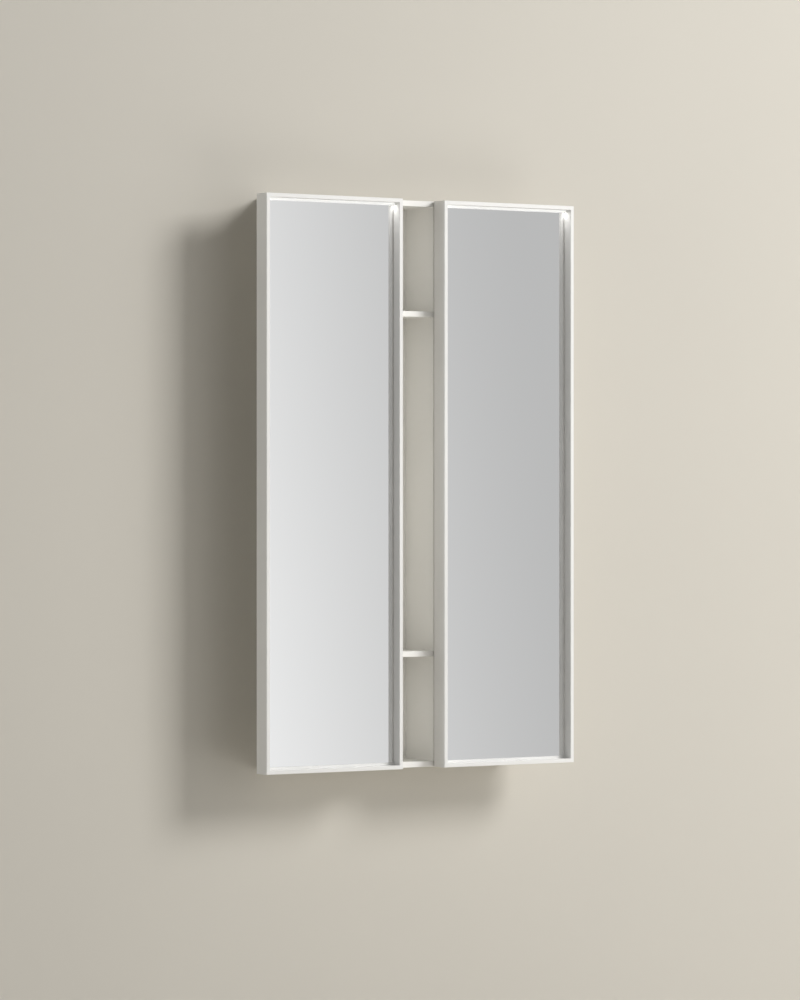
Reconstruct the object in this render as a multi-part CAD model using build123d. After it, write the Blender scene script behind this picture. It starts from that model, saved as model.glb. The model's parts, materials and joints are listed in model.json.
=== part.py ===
from build123d import *
import os

# Wall-hung medicine cabinet. Two tall framed mirror doors stand either side of an open niche.
# Millimetres. The origin is the centre of the back, on the wall: +X to the right, +Z up, and the
# doors face -Y. Places along X are given as distances from the middle and set left or right.

# Whole cabinet
CABINET_WIDTH = 650.0
CABINET_HEIGHT = 1000.0
CABINET_DEPTH = 130.0
NICHE_WIDTH = 88.0
DOOR_OVERHANG = 62.0         # how far each door stands out past the carcass side, as a finger grip
BOARD = 10.0                 # thickness of every carcass board
SOFT_EDGE = 0.6              # radius of the lacquered edges
FIT_GAP = 0.1                # play between pieces that slip into each other

# Door frame and mirror
DOOR_DEPTH = 33.0
DOOR_CLEARANCE = 2.0         # between the back of a closed door and the carcass
FRAME_EDGE = 7.0             # width of the frame seen from the front
MIRROR_RECESS = 18.0
MIRROR_THICKNESS = 4.0
MIRROR_SIDE_GAP = 4.0
MIRROR_BEVEL = 0.5
RIM_STEP = 1.0               # from the face of the mirror back to the rims beside it
LIGHT_SLOT = 4.0             # height of the lit slot above the mirror, and of the ledge below it
BACKING_THICKNESS = 3.0
DOOR_BACK_THICKNESS = 3.0

# Door light
CHANNEL_DROP = 10.0          # how far the light channel reaches below the top of the mirror
CHANNEL_WALL = 1.0
DIFFUSER_DEPTH = 6.0         # behind the face of the mirror
DIFFUSER_PROUD = 3.0         # in front of the face of the mirror, where it shines down
DIFFUSER_EDGE = 0.4
LED_BOARD_HEIGHT = 8.0
LED_BOARD_THICKNESS = 0.8
LED_BOARD_DROP = 3.0         # from the top of the mirror to the middle of the board
LED_BOARD_END = 4.0
LED_CHIP = (3.5, 0.7, 2.8)
LED_COUNT = 16

# Hinges
HINGE_HEIGHTS = (-400.0, 0.0, 400.0)
AXIS_FROM_EDGE = 4.8         # from the door's niche edge to the hinge axis
AXIS_FROM_BACK = 6.5         # from the door's back to the hinge axis
PIN_RADIUS = 2.0
PIN_CLEARANCE = 0.05
BLOCK_HALF_HEIGHT = 20.0
BLOCK_REACH = 15.2           # how far a hinge block runs behind the mirror, from the axis
BLOCK_WEB = 4.0              # solid end of the block that joins its two halves
BOSS_RADIUS = 3.5
STILE_SKIN = 1.2             # what the hinge pocket leaves of the stile
SLOT_HEIGHT = 3.8
EYE_RADIUS = 3.2
ARM_THICKNESS = 3.0
ARM_FRONT = 1.0              # from the axis to the arm's front edge
ARM_BACK = 1.6               # from the axis to the back edge of its crossbar
ARM_NECK = (7.0, 10.4)       # the arm's neck, which passes round the door's edge, from the axis
ARM_BASE_THICKNESS = 3.0
ARM_BASE_DEPTH = 32.0
ARM_BASE_HALF_HEIGHT = 18.0
ARM_SETBACK = 1.0            # from the carcass front to the arm's base
SCREW_RADIUS = 1.75
SCREW_LENGTH = 11.0
SCREW_HEAD_RADIUS = 3.4
SCREW_HEAD = 1.6
SCREW_SPREAD = 12.0          # from the arm to each of its screws
SCREW_SLOT = (1.2, 4.4, 0.9)

# Shelves
BACK_INSET = 16.0            # service space between the wall and the compartment backs
BACK_THICKNESS = 6.0
NICHE_BACK_THICKNESS = 8.0
NICHE_SHELF_HEIGHTS = {"lower": -300.0, "upper": 300.0}
GLASS_SHELF_HEIGHTS = {"lower": -230.0, "middle": 40.0, "upper": 270.0}
GLASS_THICKNESS = 5.0
GLASS_BEVEL = 0.8
GLASS_SETBACK = 12.0         # from the carcass front
GLASS_SIDE_GAP = 2.0
SHELF_PIN_RADIUS = 2.5
SHELF_PIN_DEPTH = 6.0        # length inside the board
SHELF_PIN_REACH = 8.0        # length under the shelf
COLLAR_RADIUS = 3.6
COLLAR_LENGTH = 1.2
PIN_FROM_SHELF_EDGE = 12.0

# Catches and buffers
CATCH_HEIGHTS = (-150.0, 150.0)
CATCH_SIZE = (14.0, 18.0, 44.0)
MAGNET_SIZE = (8.0, 10.0, 30.0)
STRIKE_SIZE = (14.0, 1.0, 36.0)
BUFFER_HEIGHTS = (-470.0, 470.0)
BUFFER_RADIUS = 4.0
BUFFER_THICKNESS = 1.6

# Hanging
HANGER_SIZE = (22.0, 38.0, 40.0)
HANGER_DROP = 8.0            # from the top board to the hanger
HANGER_EDGE = 2.0
HANGER_SCREW_RADIUS = 3.4
HANGER_SCREW_LENGTH = 2.6
HANGER_SCREW_INSET = 9.0     # from the hanger's ends to its screws
HOOK_WIDTH = 14.0
HOOK_FROM_SIDE = 4.0         # from the side board to the hook
HOOK_HEIGHT = 453.0          # underside of the hook, which is the top of the rail's lip
HOOK_THICKNESS = 2.0
HOOK_DROP = 8.0
HOOK_INSIDE = 22.0           # length of the hook inside the hanger
RAIL_LENGTH = 110.0
RAIL_THICKNESS = 2.0
RAIL_BOTTOM = 412.0
RAIL_BEND = 443.0            # top of the rail's flange
RAIL_REACH = 10.0            # from the wall to the front of the lip
RAIL_HOLE_SPACING = 80.0
RAIL_HOLE_RADIUS = 3.0
RAIL_HOLE_HEIGHT = 427.0

# Supply for the lights, in the service space behind the right compartment
DRIVER_X = (90.0, 230.0)
DRIVER_Y = (-14.5, -2.5)
DRIVER_Z = (330.0, 370.0)
DRIVER_EDGE = 2.0
WIRING_POCKET = (12.0, 2.0, 8.0)
CLIP_WIDTH = 10.0
CLIP_THICKNESS = 1.3
CLIP_TAB = 10.0
CLIP_FROM_END = 30.0
GLAND_NUT_RADIUS = 5.5
GLAND_RADIUS = 4.8
GLAND_BORE_RADIUS = 3.6
GLAND_LENGTH = 12.0

# Worked out from the above
TOP = CABINET_HEIGHT / 2
BAY_TOP = TOP - BOARD
FRAME_TOP = TOP - FRAME_EDGE
MIRROR_TOP = FRAME_TOP - LIGHT_SLOT
NICHE_X = NICHE_WIDTH / 2                     # niche edge of the doors and face of the niche wall
OUTER_X = CABINET_WIDTH / 2
CARCASS_X = OUTER_X - DOOR_OVERHANG
BAY_INNER_X = NICHE_X + BOARD                 # walls of a compartment
BAY_OUTER_X = CARCASS_X - BOARD
FRAME_INNER_X = NICHE_X + FRAME_EDGE
FRAME_OUTER_X = OUTER_X - FRAME_EDGE
DOOR_FRONT = -CABINET_DEPTH
DOOR_BACK = DOOR_FRONT + DOOR_DEPTH
PANEL_FRONT = DOOR_BACK - DOOR_BACK_THICKNESS
MIRROR_FRONT = DOOR_FRONT + MIRROR_RECESS
MIRROR_BACK = MIRROR_FRONT + MIRROR_THICKNESS
BACKING_BACK = MIRROR_BACK + BACKING_THICKNESS
CARCASS_FRONT = DOOR_BACK + DOOR_CLEARANCE
BACK_FRONT = -BACK_INSET - BACK_THICKNESS     # front face of the compartment backs
AXIS_X = NICHE_X + AXIS_FROM_EDGE
AXIS_Y = DOOR_BACK - AXIS_FROM_BACK
CATCH_X = BAY_OUTER_X - CATCH_SIZE[0] / 2
HANGER_X = BAY_OUTER_X - HANGER_SIZE[0] / 2
HANGER_Z = BAY_TOP - HANGER_DROP - HANGER_SIZE[2] / 2
HOOK_X = (BAY_OUTER_X - HOOK_FROM_SIDE - HOOK_WIDTH, BAY_OUTER_X - HOOK_FROM_SIDE)
RAIL_X = BAY_OUTER_X - GLASS_SIDE_GAP - RAIL_LENGTH / 2
SIDES = {"left": -1, "right": 1}


def block(x, y, z):
    """Box between two places along each axis."""
    spans = (x, y, z)
    size = [abs(b - a) for a, b in spans]
    centre = [(a + b) / 2 for a, b in spans]
    return Pos(*centre) * Box(*size)


def sided(side, span):
    """A span of distances from the middle, on the left (-1) or the right (1)."""
    return side * span[0], side * span[1]


def around(centre, width):
    return centre - width / 2, centre + width / 2


def rod(axis, centre, radius, length):
    """Cylinder about its centre, along X, Y or Z."""
    turn = {"X": Rot(0, 90, 0), "Y": Rot(90, 0, 0), "Z": Rot(0, 0, 0)}[axis]
    return Pos(*centre) * turn * Cylinder(radius, length)


def soften_front(board):
    """Rounds the two long front edges of a board."""
    front = board.faces().sort_by(Axis.Y)[0]
    return fillet(front.edges().sort_by(SortBy.LENGTH)[-2:], SOFT_EDGE)


# ---------------------------------------------------------------- carcass boards

def end_panel(sign):
    """Top or bottom board, the full width of the carcass."""
    return soften_front(block((-CARCASS_X, CARCASS_X), (CARCASS_FRONT, 0),
                              (sign * TOP, sign * BAY_TOP)))


def upright(side, span):
    """Full-height board, drilled for the shelf pins that stand in it."""
    board = soften_front(block(sided(side, span), (CARCASS_FRONT, 0), (-BAY_TOP, BAY_TOP)))
    for x, inward, y, z in shelf_pin_places(side):
        if min(sided(side, span)) - 1 < x < max(sided(side, span)) + 1:
            hole_x = x + inward * SHELF_PIN_DEPTH / 2
            board -= rod("X", (hole_x, y, z), SHELF_PIN_RADIUS + FIT_GAP, SHELF_PIN_DEPTH)
    return board


def niche_panel(side):
    """Upright between a compartment and the niche, drilled for the hinge arms' screws."""
    panel = upright(side, (NICHE_X, BAY_INNER_X))
    depth = SCREW_LENGTH - ARM_BASE_THICKNESS
    for y, z in arm_screw_places():
        centre = (side * (BAY_INNER_X - depth / 2), y, z)
        panel -= rod("X", centre, SCREW_RADIUS + FIT_GAP, depth)
    return panel


def compartment_back(side):
    """Back board with a window for the hanger's hook."""
    back = block(sided(side, (BAY_INNER_X, BAY_OUTER_X)), (BACK_FRONT, -BACK_INSET),
                 (-BAY_TOP, BAY_TOP))
    window = block(sided(side, (HOOK_X[0] - 1, HOOK_X[1] + 1)), (BACK_FRONT, -BACK_INSET),
                   (HOOK_HEIGHT - 2, HOOK_HEIGHT + HOOK_THICKNESS + 2))
    return back - window


def niche_back():
    return block((-NICHE_X, NICHE_X), (-NICHE_BACK_THICKNESS, 0), (-BAY_TOP, BAY_TOP))


def niche_shelf(height):
    return soften_front(block((-NICHE_X, NICHE_X), (CARCASS_FRONT, -NICHE_BACK_THICKNESS),
                              around(height, BOARD)))


def glass_shelf(side, height):
    x = sided(side, (BAY_INNER_X + GLASS_SIDE_GAP, BAY_OUTER_X - GLASS_SIDE_GAP))
    shelf = block(x, (CARCASS_FRONT + GLASS_SETBACK, BACK_FRONT - 1),
                  around(height, GLASS_THICKNESS))
    return chamfer(shelf.edges().group_by(Axis.Y)[0].filter_by(Axis.X), GLASS_BEVEL)


def shelf_pin_places(side):
    """Each pin's wall face x, its direction into the wall, its y and its z."""
    rear = BACK_FRONT - PIN_FROM_SHELF_EDGE
    front = CARCASS_FRONT + GLASS_SETBACK + PIN_FROM_SHELF_EDGE
    for height in GLASS_SHELF_HEIGHTS.values():
        z = height - GLASS_THICKNESS / 2 - SHELF_PIN_RADIUS
        for y in (rear, front):
            yield side * BAY_INNER_X, -side, y, z
            yield side * BAY_OUTER_X, side, y, z


def shelf_pin(x, inward, y, z):
    """Pin with a collar against the wall face."""
    length = SHELF_PIN_DEPTH - FIT_GAP + SHELF_PIN_REACH
    centre = x + inward * (SHELF_PIN_DEPTH - FIT_GAP - length / 2)
    collar = rod("X", (x - inward * COLLAR_LENGTH / 2, y, z), COLLAR_RADIUS, COLLAR_LENGTH)
    return rod("X", (centre, y, z), SHELF_PIN_RADIUS, length) + collar


# ---------------------------------------------------------------- hinges

def arm_screw_places():
    """The y and z of every screw that holds a hinge arm."""
    y = CARCASS_FRONT + ARM_SETBACK + ARM_BASE_DEPTH * 0.65
    return [(y, height + offset) for height in HINGE_HEIGHTS
            for offset in (-SCREW_SPREAD, SCREW_SPREAD)]


def arm_outline():
    """Plan of the bent arm: from the pin, behind the mirror, round the open door's edge, to its base."""
    wall = BAY_INNER_X + 2 * FIT_GAP
    start = CARCASS_FRONT + ARM_SETBACK
    inner, outer = (AXIS_X + reach for reach in ARM_NECK)
    return [(AXIS_X, AXIS_Y - ARM_FRONT), (outer, AXIS_Y - ARM_FRONT), (outer, start + 10),
            (wall, start + 20), (wall, start), (inner, start), (inner, AXIS_Y + ARM_BACK),
            (AXIS_X, AXIS_Y + ARM_BACK)]


def hinge_arm(side, height):
    """Base on the niche wall, and a flat arm that reaches forward to the pin."""
    start = CARCASS_FRONT + ARM_SETBACK
    base = block(sided(side, (BAY_INNER_X, BAY_INNER_X + ARM_BASE_THICKNESS)),
                 (start, start + ARM_BASE_DEPTH), around(height, 2 * ARM_BASE_HALF_HEIGHT))
    bottom = height - ARM_THICKNESS / 2
    points = [(side * x, y, bottom) for x, y in arm_outline()]
    plate = extrude(make_face(Polyline(*points, close=True)), ARM_THICKNESS, dir=(0, 0, 1))
    pivot = (side * AXIS_X, AXIS_Y, height)
    arm = base + plate + rod("Z", pivot, EYE_RADIUS, ARM_THICKNESS)
    arm -= rod("Z", pivot, PIN_RADIUS + PIN_CLEARANCE, ARM_THICKNESS)
    for y, z in arm_screw_places():
        if abs(z - height) < BLOCK_HALF_HEIGHT:
            x = side * (BAY_INNER_X + ARM_BASE_THICKNESS / 2)
            arm -= rod("X", (x, y, z), SCREW_RADIUS + FIT_GAP, ARM_BASE_THICKNESS)
    return arm


def arm_screw(side, y, z):
    """Cross-head screw through a hinge arm's base into the niche wall."""
    face = BAY_INNER_X + ARM_BASE_THICKNESS
    shank = SCREW_LENGTH - 4 * FIT_GAP
    screw = rod("X", (side * (face - shank / 2), y, z), SCREW_RADIUS, shank)
    screw += rod("X", (side * (face + SCREW_HEAD / 2), y, z), SCREW_HEAD_RADIUS, SCREW_HEAD)
    depth, long, short = SCREW_SLOT
    crown = Pos(side * (face + SCREW_HEAD), y, z)
    return screw - crown * Box(depth, long, short) - crown * Box(depth, short, long)


def block_shape(side, height, play=0.0):
    """Outer shape of a hinge block, or of its pocket when it is given play."""
    x = sided(side, (NICHE_X + STILE_SKIN - play, AXIS_X + BLOCK_REACH + play))
    height_span = around(height, 2 * (BLOCK_HALF_HEIGHT + play))
    body = block(x, (BACKING_BACK + 4 * FIT_GAP, DOOR_BACK), height_span)
    boss = rod("Z", (side * AXIS_X, AXIS_Y, height), BOSS_RADIUS + play,
               2 * (BLOCK_HALF_HEIGHT + play))
    in_stile = block(sided(side, (NICHE_X, FRAME_INNER_X)), (DOOR_FRONT, DOOR_BACK), height_span)
    return body + (boss & in_stile)


def arm_slot(side, height):
    """Gap in the block and the back of the stile that the hinge arm swings in."""
    return block(sided(side, (NICHE_X + STILE_SKIN, AXIS_X + BLOCK_REACH - BLOCK_WEB)),
                 (AXIS_Y - BOSS_RADIUS - FIT_GAP, DOOR_BACK), around(height, SLOT_HEIGHT))


def hinge_block(side, height):
    pin_hole = rod("Z", (side * AXIS_X, AXIS_Y, height), PIN_RADIUS, 2 * BLOCK_HALF_HEIGHT)
    return block_shape(side, height) - arm_slot(side, height) - pin_hole


def hinge_pin(side, height):
    return rod("Z", (side * AXIS_X, AXIS_Y, height), PIN_RADIUS, 2 * BLOCK_HALF_HEIGHT - 1)


# ---------------------------------------------------------------- doors

def mitred(outline, bar):
    """Bar cut to its mitred outline in the XZ plane."""
    points = [(x, DOOR_FRONT, z) for x, z in outline]
    return bar & extrude(make_face(Polyline(*points, close=True)), DOOR_DEPTH, dir=(0, 1, 0))


def stile(side, face_x, inner_x):
    """Upright frame member between a door's outer face and its inner face."""
    middle = Pos(side * (face_x + inner_x) / 2, DOOR_FRONT + DOOR_DEPTH / 2, -TOP)
    bar = extrude(middle * RectangleRounded(FRAME_EDGE, DOOR_DEPTH, SOFT_EDGE), CABINET_HEIGHT)
    outline = [(side * face_x, -TOP), (side * inner_x, -FRAME_TOP),
               (side * inner_x, FRAME_TOP), (side * face_x, TOP)]
    return mitred(outline, bar)


def hinge_stile(side):
    """Stile beside the niche, with pockets for the hinge blocks and slots for the arms."""
    member = stile(side, NICHE_X, FRAME_INNER_X)
    for height in HINGE_HEIGHTS:
        member -= block_shape(side, height, FIT_GAP)
        member -= arm_slot(side, height)
    return member


def rail(side, sign):
    """Top or bottom frame member."""
    start = Pos(side * NICHE_X, DOOR_FRONT + DOOR_DEPTH / 2, sign * (TOP + FRAME_TOP) / 2)
    profile = start * Rot(0, side * 90, 0) * RectangleRounded(FRAME_EDGE, DOOR_DEPTH, SOFT_EDGE)
    bar = extrude(profile, OUTER_X - NICHE_X)
    outline = [(side * NICHE_X, sign * TOP), (side * FRAME_INNER_X, sign * FRAME_TOP),
               (side * FRAME_OUTER_X, sign * FRAME_TOP), (side * OUTER_X, sign * TOP)]
    return mitred(outline, bar)


def mirror_span(side):
    return sided(side, (FRAME_INNER_X + MIRROR_SIDE_GAP, FRAME_OUTER_X - MIRROR_SIDE_GAP))


def frame_span(side):
    return sided(side, (FRAME_INNER_X, FRAME_OUTER_X))


def mirror(side):
    glass = block(mirror_span(side), (MIRROR_FRONT, MIRROR_BACK), (-MIRROR_TOP, MIRROR_TOP))
    return chamfer(glass.edges().group_by(Axis.Y)[0], MIRROR_BEVEL)


def mirror_backing(side):
    """Tray for the mirror that stops below the light channel, notched for the hinge eyes."""
    board = block(frame_span(side), (MIRROR_BACK, BACKING_BACK),
                  (-MIRROR_TOP, MIRROR_TOP - CHANNEL_DROP - 1))
    rim_depth = (MIRROR_FRONT + RIM_STEP, MIRROR_BACK)
    rim_width = MIRROR_SIDE_GAP - FIT_GAP
    for start, end in ((FRAME_INNER_X, FRAME_INNER_X + rim_width),
                       (FRAME_OUTER_X - rim_width, FRAME_OUTER_X)):
        board += block(sided(side, (start, end)), rim_depth, (-MIRROR_TOP, MIRROR_TOP))
    for height in HINGE_HEIGHTS:
        board -= rod("Z", (side * AXIS_X, AXIS_Y, height), EYE_RADIUS + 4 * FIT_GAP, SLOT_HEIGHT)
    return board


def mirror_support(side):
    """Ledge that carries the mirror along the bottom rail."""
    return block(frame_span(side), (MIRROR_FRONT, BACKING_BACK), (-FRAME_TOP, -MIRROR_TOP))


def door_back(side):
    """Panel that closes the back of the door, cut out round the hinge blocks."""
    panel = block(frame_span(side), (PANEL_FRONT, DOOR_BACK), (-FRAME_TOP, FRAME_TOP))
    for height in HINGE_HEIGHTS:
        panel -= block_shape(side, height, FIT_GAP)
    return panel


def light_channel(side):
    """Aluminium channel that opens towards the lit slot."""
    front = MIRROR_FRONT + DIFFUSER_DEPTH
    floor = MIRROR_TOP - CHANNEL_DROP
    outer = block(frame_span(side), (front, PANEL_FRONT), (floor, FRAME_TOP))
    hollow = block(frame_span(side), (front, PANEL_FRONT - CHANNEL_WALL),
                   (floor + CHANNEL_WALL, FRAME_TOP - CHANNEL_WALL))
    return outer - hollow


def led_strip(side):
    """Board on the channel's back wall, with a row of light chips."""
    z = MIRROR_TOP - LED_BOARD_DROP
    back = PANEL_FRONT - CHANNEL_WALL
    front = back - LED_BOARD_THICKNESS
    x0 = FRAME_INNER_X + LED_BOARD_END
    pitch = (FRAME_OUTER_X - LED_BOARD_END - x0) / LED_COUNT
    strip = block(sided(side, (x0, x0 + LED_COUNT * pitch)), (front, back),
                  around(z, LED_BOARD_HEIGHT))
    for index in range(LED_COUNT):
        x = side * (x0 + pitch * (index + 0.5))
        strip += Pos(x, front - LED_CHIP[1] / 2, z) * Box(*LED_CHIP)
    return strip


def light_diffuser(side):
    """Opal bar that fills the slot above the mirror and stands a little proud of it."""
    bar = block(frame_span(side), (MIRROR_FRONT - DIFFUSER_PROUD, MIRROR_FRONT + DIFFUSER_DEPTH),
                (MIRROR_TOP, FRAME_TOP))
    return fillet(bar.edges().group_by(Axis.Y)[0].filter_by(Axis.X), DIFFUSER_EDGE)


# ---------------------------------------------------------------- catches and buffers

def strike_plate(side, height):
    return Pos(side * CATCH_X, DOOR_BACK + STRIKE_SIZE[1] / 2, height) * Box(*STRIKE_SIZE)


def catch_housing(side, height):
    """Housing on the side board, with a pocket for its magnet."""
    width, depth, length = CATCH_SIZE
    front = CARCASS_FRONT + 0.5
    body = block(around(side * CATCH_X, width), (front, front + depth), around(height, length))
    pocket = [size + 2 * FIT_GAP for size in MAGNET_SIZE]
    return body - block(around(side * CATCH_X, pocket[0]), (front, front + pocket[1]),
                        around(height, pocket[2]))


def catch_magnet(side, height):
    width, depth, length = MAGNET_SIZE
    front = CARCASS_FRONT + FIT_GAP
    return block(around(side * CATCH_X, width), (front, front + depth), around(height, length))


def buffer(side, height):
    centre = (side * (CARCASS_X - BOARD / 2), CARCASS_FRONT - BUFFER_THICKNESS / 2, height)
    return rod("Y", centre, BUFFER_RADIUS, BUFFER_THICKNESS)


# ---------------------------------------------------------------- hanging

def hanger_screw_heights():
    reach = HANGER_SIZE[2] / 2 - HANGER_SCREW_INSET
    return HANGER_Z - reach, HANGER_Z + reach


def hanger_body(side):
    """Plastic hanger in the top rear corner, with seats for its adjusting screws."""
    width, depth, length = HANGER_SIZE
    front = BACK_FRONT - depth
    body = block(around(side * HANGER_X, width), (front, BACK_FRONT), around(HANGER_Z, length))
    body = fillet(body.edges().group_by(Axis.Y)[0], HANGER_EDGE)
    inside = HOOK_INSIDE + 1
    body -= block(sided(side, (HOOK_X[0] - FIT_GAP, HOOK_X[1] + FIT_GAP)),
                  (BACK_FRONT - inside, BACK_FRONT),
                  (HOOK_HEIGHT - FIT_GAP, HOOK_HEIGHT + HOOK_THICKNESS + FIT_GAP))
    for z in hanger_screw_heights():
        body -= rod("Y", (side * HANGER_X, front, z), HANGER_SCREW_RADIUS + FIT_GAP,
                    2 * HANGER_SCREW_LENGTH)
    return body


def hanger_screw(side, height):
    """Slotted adjusting screw in its seat."""
    front = BACK_FRONT - HANGER_SIZE[1]
    centre = (side * HANGER_X, front + HANGER_SCREW_LENGTH / 2, height)
    screw = rod("Y", centre, HANGER_SCREW_RADIUS, HANGER_SCREW_LENGTH)
    return screw - Pos(side * HANGER_X, front, height) * Box(5, 1.6, 1)


def hanger_hook(side):
    """Steel strip that runs back through the compartment back and down behind the rail's lip."""
    x = sided(side, HOOK_X)
    tip = (-RAIL_REACH + RAIL_THICKNESS + 1, -RAIL_REACH + 2 * RAIL_THICKNESS + 1)
    strip = block(x, (BACK_FRONT - HOOK_INSIDE, tip[1]),
                  (HOOK_HEIGHT, HOOK_HEIGHT + HOOK_THICKNESS))
    return strip + block(x, tip, (HOOK_HEIGHT - HOOK_DROP, HOOK_HEIGHT))


def wall_rail(side):
    """Steel strip screwed to the wall, with a raised lip that carries the hook."""
    x = around(side * RAIL_X, RAIL_LENGTH)
    bend = (RAIL_BEND - RAIL_THICKNESS, RAIL_BEND)
    strip = block(x, (-RAIL_THICKNESS, 0), (RAIL_BOTTOM, RAIL_BEND))
    strip += block(x, (-RAIL_REACH, 0), bend)
    strip += block(x, (-RAIL_REACH, -RAIL_REACH + RAIL_THICKNESS), (bend[0], HOOK_HEIGHT))
    for hole_x in around(side * RAIL_X, RAIL_HOLE_SPACING):
        strip -= rod("Y", (hole_x, -RAIL_THICKNESS / 2, RAIL_HOLE_HEIGHT), RAIL_HOLE_RADIUS,
                     RAIL_THICKNESS)
    return strip


# ---------------------------------------------------------------- lighting supply

def led_driver():
    """Flat driver with a recessed wiring pocket at each end."""
    case = fillet(block(DRIVER_X, DRIVER_Y, DRIVER_Z).edges().filter_by(Axis.X), DRIVER_EDGE)
    length, depth, margin = WIRING_POCKET
    for x, inward in zip(DRIVER_X, (1, -1)):
        case -= block((x, x + inward * length), (DRIVER_Y[0], DRIVER_Y[0] + depth),
                      (DRIVER_Z[0] + margin, DRIVER_Z[1] - margin))
    return case


def driver_clip(x):
    """Strap round the driver, with a tab at each end against the compartment back."""
    bottom, top = DRIVER_Z[0] - FIT_GAP, DRIVER_Z[1] + FIT_GAP
    rear = DRIVER_Y[1] + FIT_GAP
    span = around(x, CLIP_WIDTH)
    strap = block(span, (-BACK_INSET, rear + CLIP_THICKNESS),
                  (bottom - CLIP_THICKNESS, top + CLIP_THICKNESS))
    strap -= block(span, (-BACK_INSET, rear), (bottom, top))
    for z in ((bottom - CLIP_TAB, bottom), (top, top + CLIP_TAB)):
        strap += block(span, (-BACK_INSET, -BACK_INSET + CLIP_THICKNESS), z)
    return strap


def cable_gland():
    """Mains inlet on the end of the driver."""
    y = sum(DRIVER_Y) / 2
    z = sum(DRIVER_Z) / 2
    x = DRIVER_X[0]
    nut = rod("X", (x - GLAND_LENGTH / 6, y, z), GLAND_NUT_RADIUS, GLAND_LENGTH / 3)
    sleeve = rod("X", (x - GLAND_LENGTH / 2, y, z), GLAND_RADIUS, GLAND_LENGTH)
    return nut + sleeve - rod("X", (x - GLAND_LENGTH / 2, y, z), GLAND_BORE_RADIUS, GLAND_LENGTH)


# ---------------------------------------------------------------- output

def on_both_sides(make, heights):
    """The same small piece at each height on the left and on the right."""
    return [make(side, height) for side in SIDES.values() for height in heights]


def shared_parts():
    pins = [shelf_pin(*place) for side in SIDES.values() for place in shelf_pin_places(side)]
    screws = [arm_screw(side, y, z) for side in SIDES.values() for y, z in arm_screw_places()]
    clip_places = (DRIVER_X[0] + CLIP_FROM_END, DRIVER_X[1] - CLIP_FROM_END)
    parts = {
        "top_panel": end_panel(1),
        "bottom_panel": end_panel(-1),
        "niche_back_panel": niche_back(),
        "shelf_pins": pins,
        "hinge_arm_screws": screws,
        "catch_housings": on_both_sides(catch_housing, CATCH_HEIGHTS),
        "catch_magnets": on_both_sides(catch_magnet, CATCH_HEIGHTS),
        "door_buffers": on_both_sides(buffer, BUFFER_HEIGHTS),
        "hanger_screws": on_both_sides(hanger_screw, hanger_screw_heights()),
        "hanger_hooks": [hanger_hook(side) for side in SIDES.values()],
        "wall_rails": [wall_rail(side) for side in SIDES.values()],
        "led_driver": led_driver(),
        "driver_clips": [driver_clip(x) for x in clip_places],
        "cable_gland": cable_gland(),
    }
    for name, height in NICHE_SHELF_HEIGHTS.items():
        parts[f"{name}_niche_shelf"] = niche_shelf(height)
    return parts


def compartment_parts(name, side):
    parts = {
        f"{name}_side_panel": upright(side, (BAY_OUTER_X, CARCASS_X)),
        f"{name}_niche_panel": niche_panel(side),
        f"{name}_back_panel": compartment_back(side),
        f"{name}_hinge_arms": [hinge_arm(side, height) for height in HINGE_HEIGHTS],
        f"{name}_hanger": hanger_body(side),
    }
    for level, height in GLASS_SHELF_HEIGHTS.items():
        parts[f"{name}_glass_shelf_{level}"] = glass_shelf(side, height)
    return parts


def door_parts(name, side):
    return {
        f"{name}_door_hinge_stile": hinge_stile(side),
        f"{name}_door_outer_stile": stile(side, OUTER_X, FRAME_OUTER_X),
        f"{name}_door_top_rail": rail(side, 1),
        f"{name}_door_bottom_rail": rail(side, -1),
        f"{name}_door_mirror": mirror(side),
        f"{name}_door_mirror_backing": mirror_backing(side),
        f"{name}_door_mirror_support": mirror_support(side),
        f"{name}_door_back": door_back(side),
        f"{name}_door_light_channel": light_channel(side),
        f"{name}_door_led_strip": led_strip(side),
        f"{name}_door_light_diffuser": light_diffuser(side),
        f"{name}_door_hinge_blocks": [hinge_block(side, height) for height in HINGE_HEIGHTS],
        f"{name}_door_hinge_pins": [hinge_pin(side, height) for height in HINGE_HEIGHTS],
        f"{name}_door_strike_plates": [strike_plate(side, height) for height in CATCH_HEIGHTS],
    }


nodes = shared_parts()
for name, side in SIDES.items():
    nodes |= compartment_parts(name, side)
    nodes |= door_parts(name, side)

os.makedirs("parts", exist_ok=True)
for node, shape in nodes.items():
    if isinstance(shape, list):
        shape = Compound(children=shape)
    export_step(shape, f"parts/{node}.step")
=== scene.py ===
import json
import math

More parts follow.
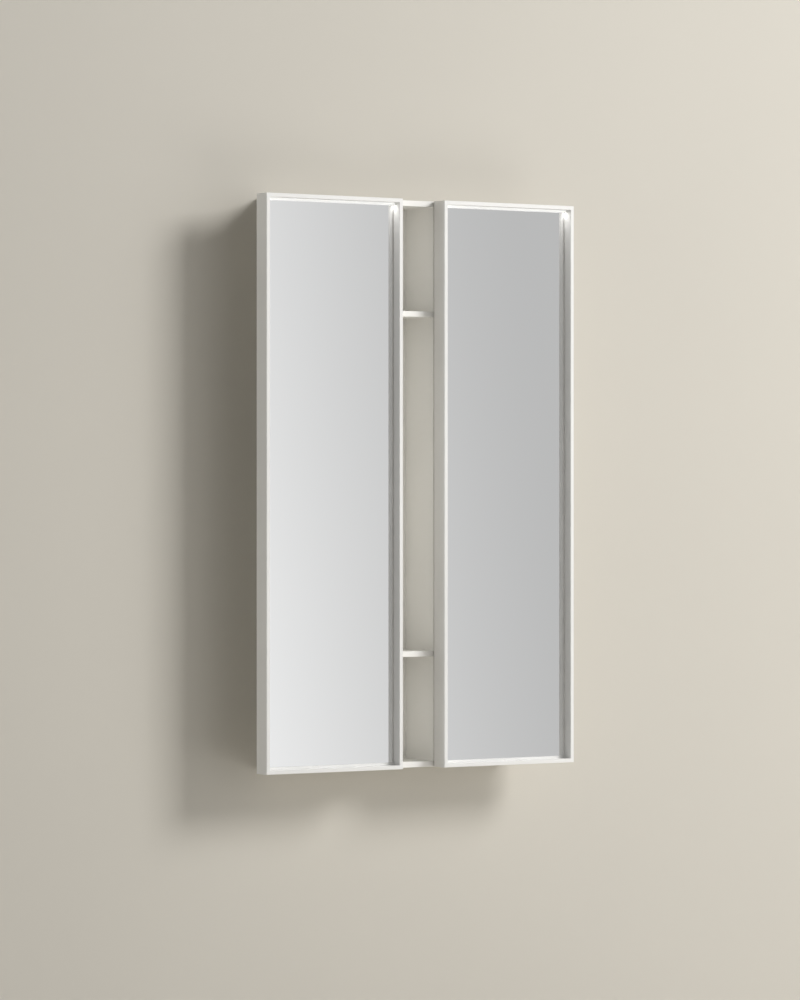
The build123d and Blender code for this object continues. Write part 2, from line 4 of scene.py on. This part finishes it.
import bpy
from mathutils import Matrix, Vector

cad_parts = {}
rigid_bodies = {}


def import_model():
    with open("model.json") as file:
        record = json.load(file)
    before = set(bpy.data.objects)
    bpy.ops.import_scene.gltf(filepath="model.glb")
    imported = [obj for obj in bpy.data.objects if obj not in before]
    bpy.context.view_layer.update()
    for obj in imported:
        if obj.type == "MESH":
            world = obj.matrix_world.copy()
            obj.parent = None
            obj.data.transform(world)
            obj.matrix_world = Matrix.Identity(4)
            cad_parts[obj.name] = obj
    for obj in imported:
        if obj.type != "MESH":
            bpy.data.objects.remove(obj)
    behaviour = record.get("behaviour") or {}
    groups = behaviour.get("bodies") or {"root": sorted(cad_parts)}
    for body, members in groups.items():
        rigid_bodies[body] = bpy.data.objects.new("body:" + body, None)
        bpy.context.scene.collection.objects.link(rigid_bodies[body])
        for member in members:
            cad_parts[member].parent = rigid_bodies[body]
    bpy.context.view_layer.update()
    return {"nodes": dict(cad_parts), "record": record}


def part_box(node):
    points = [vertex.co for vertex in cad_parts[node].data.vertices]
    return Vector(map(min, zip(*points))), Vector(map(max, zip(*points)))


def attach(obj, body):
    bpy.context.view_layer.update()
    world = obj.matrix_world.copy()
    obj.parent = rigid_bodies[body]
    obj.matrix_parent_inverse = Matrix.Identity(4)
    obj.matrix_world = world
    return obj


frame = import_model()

nodes = frame["nodes"]
subparts = frame["record"]["subparts"]
SIDES = ("left", "right")

# The view: level, so that uprights stay upright, and well round to the left of the front
CAMERA_PLACE = (-4.2931, -6.5244, -0.0210)
CAMERA_TURN = 33.565         # degrees round from the front, towards the left
LENS_MM = 157.75
SENSOR_MM = 36.0
HORIZON_SHIFT = -0.0041
FARTHEST_SEEN = 100.0

# The room
ROOM_REACH = 9.0             # of the wall and the floor, from the middle of the cabinet's back
FLOOR_LEVEL = -1.25

# The key light
KEY_PLACE = (2.87, -3.60, 2.32)
KEY_AIM = (-0.75, 0.0, -0.65)    # a point on the wall, so that the light falls off less to the left
KEY_WATTS = 166.0
KEY_WIDTH = 1.75

# The lamp in each door's slot
SLOT_WATTS = 0.058
SLOT_TOWARDS = (0.0, -0.25, -1.0)
SLOT_END_GAP = 0.002         # from each end of the diffuser to the lamp
SLOT_DEPTH = 0.003
SLOT_SETBACK = 0.0016        # from the diffuser's front to the middle of the lamp
SLOT_DROP = 0.0004           # from the diffuser's underside to the lamp

# The world's light. Each pair of numbers is where a light is out, and where it is full. A turn is
# in degrees round from the front, towards the right. A height is the upward part of a direction
# whose length is 1, and it counts the same downwards.
CARD_BRIGHTNESS = 0.456
CARD_LEFT_TURNS = (-15.0, -3.0)
CARD_RIGHT_TURNS = (35.8, 30.3)
CARD_LEAN = 0.17             # radians that its right edge leans to the left, at a height of 1
CARD_FEATHER = 1.5           # the power that softens its right edge
GLOW_BRIGHTNESS = 0.420
GLOW_LEFT_TURNS = (-25.0, 0.0)
GLOW_RIGHT_TURNS = (90.0, 45.0)
CARD_HEIGHTS = (0.6, 0.25)   # of the card and the glow alike
SIDE_BRIGHTNESS = 1.5
SIDE_LEFT_TURNS = (46.0, 54.0)
SIDE_RIGHT_TURNS = (72.0, 60.0)
SIDE_HEIGHTS = (0.85, 0.5)
FRONT_BRIGHTNESS = 0.085
FRONT_DEPTHS = (0.05, -0.05)     # the Y part of a direction: all that comes from before the wall

# Nearly all of a noise texture's values lie between these
NOISE_LOW = 0.3
NOISE_HIGH = 0.7


# ---------------------------------------------------------------- material helpers

class Nodes:
    """Short calls for building one node tree."""

    def __init__(self, owner):
        """Empties the node tree of a new material or world."""
        owner.use_nodes = True
        owner.node_tree.nodes.clear()
        self.tree = owner.node_tree

    def add(self, kind, inputs=(), **settings):
        node = self.tree.nodes.new(kind)
        for key, value in settings.items():
            setattr(node, key, value)
        for key, value in dict(inputs).items():
            self.put(node.inputs[key], value)
        return node

    def put(self, socket, value):
        if isinstance(value, bpy.types.NodeSocket):
            self.tree.links.new(value, socket)
        elif isinstance(value, tuple) and len(value) == 3 and socket.type == "RGBA":
            socket.default_value = (*value, 1.0)
        else:
            socket.default_value = value

    def place(self):
        return self.add("ShaderNodeTexCoord").outputs["Object"]

    def scaled(self, scale):
        return self.add("ShaderNodeMapping", {"Vector": self.place(), "Scale": scale}).outputs[0]

    def noise(self, scale, detail=3.0, where=None):
        inputs = {"Vector": where or self.place(), "Scale": scale, "Detail": detail}
        return self.add("ShaderNodeTexNoise", inputs).outputs["Fac"]

    def ramp(self, value, low, high, to_low=0.0, to_high=1.0):
        inputs = {"Value": value, "From Min": low, "From Max": high,
                  "To Min": to_low, "To Max": to_high}
        return self.add("ShaderNodeMapRange", inputs).outputs["Result"]

    def turn_ramp(self, turn, degrees):
        """0 at the first turn and 1 at the second."""
        return self.ramp(turn, *(math.radians(angle) for angle in degrees))

    def maths(self, operation, *values):
        return self.add("ShaderNodeMath", enumerate(values), operation=operation).outputs[0]

    def tint(self, value, dark, light, low=NOISE_LOW, high=NOISE_HIGH):
        mix = self.add("ShaderNodeMix", data_type="RGBA")
        self.put(mix.inputs["Factor"], self.ramp(value, low, high))
        self.put(mix.inputs["A"], dark)
        self.put(mix.inputs["B"], light)
        return mix.outputs["Result"]

    def uneven(self, value, middle, spread):
        """A roughness that follows a noise texture, spread to each side of its middle."""
        return self.ramp(value, NOISE_LOW, NOISE_HIGH, middle - spread, middle + spread)

    def bump(self, height, strength, distance):
        inputs = {"Height": height, "Strength": strength, "Distance": distance}
        return self.add("ShaderNodeBump", inputs).outputs["Normal"]


def material(name, build, **surface):
    """A Principled material, from constant inputs and the procedural ones that build returns."""
    made = bpy.data.materials.new(name)
    n = Nodes(made)
    inputs = {key.replace("_", " "): value for key, value in surface.items()}
    inputs.update(build(n))
    shader = n.add("ShaderNodeBsdfPrincipled", inputs)
    n.add("ShaderNodeOutputMaterial", {"Surface": shader.outputs[0]})
    return made


def darker(colour, share):
    """A colour at a share of its brightness."""
    return tuple(channel * share for channel in colour)


def lacquer(name, colour, roughness, grain=900.0):
    """Sprayed satin lacquer: a faint orange peel, and a tone that wanders over a hand's width."""

    def build(n):
        cloud = n.noise(4.0, detail=2.0)
        peel = n.noise(grain, detail=2.0)
        return {"Base Color": n.tint(cloud, darker(colour, 0.965), colour, low=0.35, high=0.65),
                "Roughness": n.uneven(n.noise(35.0), roughness, spread=0.04),
                "Normal": n.bump(peel, strength=0.12, distance=0.0002)}

    return material(name, build)


def plastic(name, colour, roughness, grain=2500.0):
    """Moulded plastic with a fine spark texture."""

    def build(n):
        spark = n.noise(grain, detail=1.0)
        return {"Base Color": n.tint(n.noise(25.0), darker(colour, 0.9), colour),
                "Roughness": n.uneven(spark, roughness, spread=0.06),
                "Normal": n.bump(spark, strength=0.25, distance=0.0001)}

    return material(name, build)


def metal(name, colour, roughness, scale, bare=1.0):
    """Metal with fine lines along the axis whose scale is small. Plating makes bare less than 1."""

    def build(n):
        lines = n.noise(1.0, detail=4.0, where=n.scaled(scale))
        return {"Base Color": n.tint(lines, darker(colour, 0.82), colour),
                "Roughness": n.uneven(lines, roughness, spread=0.08),
                "Normal": n.bump(lines, strength=0.15, distance=0.0001)}

    return material(name, build, Metallic=bare)


def smooth(name, cloud_scale, dark, light, detail=3.0, **surface):
    """A material without relief, whose tone wanders between two colours."""

    def build(n):
        return {"Base Color": n.tint(n.noise(cloud_scale, detail), dark, light)}

    return material(name, build, **surface)


def opal(name):
    """The diffuser over the LEDs: milky plastic with a faint glow of its own."""

    def build(n):
        return {"Base Color": n.tint(n.noise(60.0), (0.86, 0.86, 0.84), (0.92, 0.92, 0.90)),
                "Emission Color": n.tint(n.noise(18.0), (0.96, 0.98, 1.0), (1.0, 1.0, 1.0))}

    return material(name, build, Roughness=0.45, Emission_Strength=0.42)


# ---------------------------------------------------------------- materials

MIRROR_GLASS = smooth("mirror_glass", 3.0, (0.965, 0.970, 0.970), (0.972, 0.977, 0.977), detail=1.0,
                      Metallic=1.0, Roughness=0.0)
FRAME = lacquer("frame_lacquer", (0.882, 0.871, 0.846), 0.42)
BOARD = lacquer("lacquered_board", (0.945, 0.930, 0.888), 0.5)
HINGE = lacquer("hinge_white", (0.80, 0.79, 0.76), 0.4, grain=2200.0)
STEEL = metal("steel", (0.66, 0.66, 0.67), 0.38, scale=(60.0, 60.0, 900.0), bare=0.65)
ALUMINIUM = metal("aluminium", (0.78, 0.79, 0.80), 0.36, scale=(12.0, 900.0, 900.0))
MAGNET = plastic("magnet", (0.06, 0.06, 0.065), 0.5)
WHITE_PLASTIC = plastic("white_plastic", (0.80, 0.80, 0.77), 0.42)
GREY_PLASTIC = plastic("grey_plastic", (0.12, 0.125, 0.13), 0.45)
BACKING = plastic("grey_backing", (0.88, 0.87, 0.85), 0.55)
RUBBER = smooth("clear_rubber", 300.0, (0.72, 0.72, 0.70), (0.80, 0.80, 0.78),
                Roughness=0.35, Transmission_Weight=0.4, IOR=1.45)
LED_BOARD = plastic("led_board", (0.78, 0.78, 0.74), 0.4)
SHELF_GLASS = smooth("shelf_glass", 6.0, (0.90, 0.965, 0.94), (0.93, 0.975, 0.955), detail=1.0,
                     Roughness=0.0, IOR=1.5, Transmission_Weight=1.0)
# Painted light: the ledge under each mirror is a whiter lacquer than the frame, to stand in for the key
# light on it and its bounce off the mirror
PAINTED_LIGHT_LEDGE = lacquer("ledge_painted_light_lacquer", (0.975, 0.968, 0.948), 0.30)
DIFFUSER = opal("opal_diffuser")

LOOKS = {
    "frame_lacquer": FRAME, "lacquered_board": BOARD, "hinge_white": HINGE,
    "mirror_glass": MIRROR_GLASS, "shelf_glass": SHELF_GLASS, "opal_diffuser": DIFFUSER,
    "led_board": LED_BOARD, "aluminium": ALUMINIUM, "grey_backing": BACKING, "steel": STEEL,
    "magnet": MAGNET, "white_plastic": WHITE_PLASTIC, "grey_plastic": GREY_PLASTIC,
    "clear_rubber": RUBBER,
}


def dress(node, look):
    """Gives a CAD node one material in place of its own."""
    materials = nodes[node].data.materials
    materials.clear()
    materials.append(look)


for part in subparts:
    dress(part["node"], LOOKS[part["material_slot"]])
for side in SIDES:
    dress(f"{side}_door_mirror_support", PAINTED_LIGHT_LEDGE)      # whiter than the frame that it is fixed to: painted light, for the key light that falls on it and that its mirror throws back


# ---------------------------------------------------------------- studio

def sheet(name, corners, look):
    """A flat piece of the room."""
    mesh = bpy.data.meshes.new(name)
    mesh.from_pydata(corners, [], [tuple(range(len(corners)))])
    mesh.materials.append(look)
    made = bpy.data.objects.new(name, mesh)
    bpy.context.scene.collection.objects.link(made)
    return made


def wall_look():
    """Matt wall paint that is clear from behind, so that the cabinet's back can be seen."""
    made = bpy.data.materials.new("wall_paint")
    n = Nodes(made)
    colour = n.tint(n.noise(0.9, detail=2.0), (0.628, 0.596, 0.532), (0.648, 0.615, 0.548))
    relief = n.bump(n.noise(700.0), strength=0.05, distance=0.0003)
    paint = n.add("ShaderNodeBsdfPrincipled", {"Base Color": colour, "Roughness": 0.95,
                                               "Specular IOR Level": 0.1, "Normal": relief})
    clear = n.add("ShaderNodeBsdfTransparent")
    facing = n.add("ShaderNodeNewGeometry").outputs["Backfacing"]
    mix = n.add("ShaderNodeMixShader", {0: facing, 1: paint.outputs[0], 2: clear.outputs[0]})
    n.add("ShaderNodeOutputMaterial", {"Surface": mix.outputs[0]})
    return made


def room():
    """The plain wall that the cabinet hangs on, and a plain floor below it."""
    reach = ROOM_REACH
    wall = sheet("wall", [(-reach, 0, FLOOR_LEVEL), (reach, 0, FLOOR_LEVEL),
                          (reach, 0, reach), (-reach, 0, reach)], wall_look())
    wall.visible_shadow = False      # so that the lamp behind it reaches the cabinet's back
    floor_look = lacquer("floor_paint", (0.66, 0.64, 0.60), 0.8)
    sheet("floor", [(-reach, -reach, FLOOR_LEVEL), (reach, -reach, FLOOR_LEVEL),
                    (reach, reach, FLOOR_LEVEL), (-reach, reach, FLOOR_LEVEL)], floor_look)


def lamp(name, place, towards, watts, width, height, colour=(1.0, 1.0, 1.0), in_mirrors=False):
    """A rectangular light that shines in a direction. The camera doesn't see it."""
    data = bpy.data.lights.new(name, "AREA")
    data.energy = watts
    data.color = colour
    data.shape = "RECTANGLE"
    data.size = width
    data.size_y = height
    made = bpy.data.objects.new(name, data)
    made.location = place
    made.rotation_euler = Vector(towards).to_track_quat("-Z", "Y").to_euler()
    made.visible_camera = False
    made.visible_glossy = in_mirrors
    bpy.context.scene.collection.objects.link(made)
    return made


def carcass_nodes():
    """The nodes that don't move with a door, as a collection for a light to shine on."""
    made = bpy.data.collections.new("seen_from_behind")
    carcass = nodes["top_panel"].parent
    for part in subparts:
        if nodes[part["node"]].parent == carcass:
            made.objects.link(nodes[part["node"]])
    return made


def studio_lamps():
    """The key light, fills from below and from the left, and a light on the cabinet's back."""
    lamp("key", place=KEY_PLACE, towards=Vector(KEY_AIM) - Vector(KEY_PLACE), watts=KEY_WATTS,
         width=KEY_WIDTH, height=KEY_WIDTH, in_mirrors=True)
    lamp("low_fill", place=(0.9, -1.5, -1.2), towards=(-0.2, 0.5, 1.0), watts=16.0,
         width=2.0, height=2.0)
    lamp("left_fill", place=(-4.3, -0.55, 0.0), towards=(1.0, 0.13, 0.0), watts=22.0,
         width=0.6, height=2.0, colour=(0.93, 0.97, 1.0))
    behind = lamp("behind", place=(0.0, 3.0, 0.0), towards=(0.0, -1.0, 0.0), watts=34.0,
                  width=1.5, height=1.5)
    behind.light_linking.receiver_collection = carcass_nodes()


def door_lights():
    """The light that each door's slot throws down over its mirror and frame."""
    for side in SIDES:
        low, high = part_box(f"{side}_door_light_diffuser")
        made = lamp(f"{side}_slot_light", towards=SLOT_TOWARDS, watts=SLOT_WATTS,
                    place=((low.x + high.x) / 2, low.y + SLOT_SETBACK, low.z - SLOT_DROP),
                    width=high.x - low.x - 2 * SLOT_END_GAP, height=SLOT_DEPTH)
        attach(made, f"{side}_door")


def studio_world():
    """Soft light: a bright card in front of the mirrors, inside a wider and dimmer glow.

    A narrow light stands further to the right, and a little comes from everywhere in front of
    the wall.
    """
    world = bpy.data.worlds.new("studio")
    n = Nodes(world)
    ray = n.add("ShaderNodeTexCoord").outputs["Generated"]
    x, y, z = n.add("ShaderNodeSeparateXYZ", {0: ray}).outputs
    turn = n.maths("ARCTAN2", x, n.maths("MULTIPLY", y, -1.0))
    height = n.maths("ABSOLUTE", z)

    leaning = n.maths("ADD", turn, n.maths("MULTIPLY", z, CARD_LEAN))
    feather = n.maths("POWER", n.turn_ramp(leaning, CARD_RIGHT_TURNS), CARD_FEATHER)
    card = n.maths("MULTIPLY", feather, n.turn_ramp(turn, CARD_LEFT_TURNS))
    glow = n.maths("MULTIPLY", n.turn_ramp(turn, GLOW_LEFT_TURNS), n.turn_ramp(turn, GLOW_RIGHT_TURNS))
    dim_glow = n.maths("MULTIPLY", glow, GLOW_BRIGHTNESS)
    card_and_glow = n.maths("MULTIPLY_ADD", card, CARD_BRIGHTNESS, dim_glow)
    bright = n.maths("MULTIPLY", n.ramp(height, *CARD_HEIGHTS), card_and_glow)

    right = n.maths("MULTIPLY", n.turn_ramp(turn, SIDE_LEFT_TURNS), n.turn_ramp(turn, SIDE_RIGHT_TURNS))
    side = n.maths("MULTIPLY", right, n.ramp(height, *SIDE_HEIGHTS, to_high=SIDE_BRIGHTNESS))
    front = n.ramp(y, *FRONT_DEPTHS, to_high=FRONT_BRIGHTNESS)

    total = n.maths("ADD", bright, n.maths("ADD", side, front))
    light = n.add("ShaderNodeBackground", {"Color": (1.0, 1.0, 1.0), "Strength": total})
    n.add("ShaderNodeOutputWorld", {"Surface": light.outputs[0]})
    return world


def view_camera():
    data = bpy.data.cameras.new("camera")
    data.lens = LENS_MM
    data.sensor_width = SENSOR_MM
    data.shift_y = HORIZON_SHIFT
    data.clip_end = FARTHEST_SEEN
    made = bpy.data.objects.new("camera", data)
    made.location = CAMERA_PLACE
    made.rotation_euler = (math.radians(90), 0, -math.radians(CAMERA_TURN))
    bpy.context.scene.collection.objects.link(made)
    return made


room()
studio_lamps()
door_lights()
scene = bpy.context.scene
scene.world = studio_world()
scene.view_settings.view_transform = "Standard"
scene.camera = view_camera()
